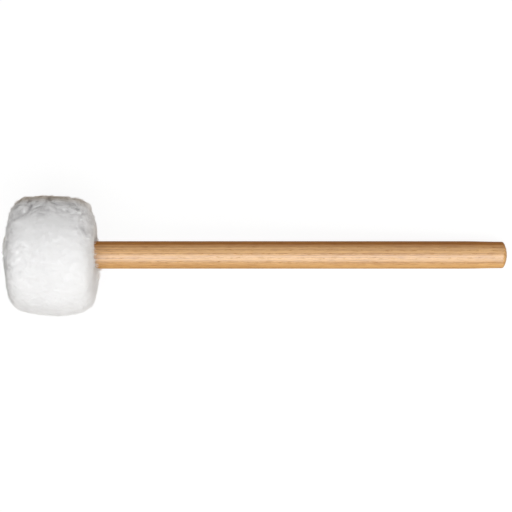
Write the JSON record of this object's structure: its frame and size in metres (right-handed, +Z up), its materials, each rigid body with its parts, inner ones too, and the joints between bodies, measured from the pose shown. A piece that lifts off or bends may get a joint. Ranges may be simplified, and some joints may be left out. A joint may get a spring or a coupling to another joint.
{
  "type": "gong mallet",
  "caption": "Gong mallet with a straight turned wooden handle, a domed butt, and a large soft barrel-shaped head in a white fleece cover.",
  "frame": {"origin": "bottom centre of the bounding box, on the surface that the mallet lies on", "axes": "+X along the handle from the head to the butt, +Z up from the surface that the mallet lies on"},
  "size_m": [0.4056, 0.0976, 0.098],
  "materials": {
    "hickory": "straight-grained, clear lacquered, satin",
    "maple": "turned, unfinished",
    "steel": "zinc-plated",
    "felt": "pressed wool felt",
    "batting": "loose wool batting",
    "fleece": "white long-pile fleece",
    "waxed_thread": "waxed twisted thread"
  },
  "bodies": {
    "root": {"handle": "hickory", "core": "maple", "core_washer": "steel", "core_screw": "steel", "rear_felt_disc": "felt", "front_felt_disc": "felt", "felt_wrap": "felt", "padding": "batting", "fleece_cover": "fleece", "seam_thread": "waxed_thread", "neck_drawstring": "waxed_thread", "pucker_drawstring": "waxed_thread"}
  },
  "joints": []
}
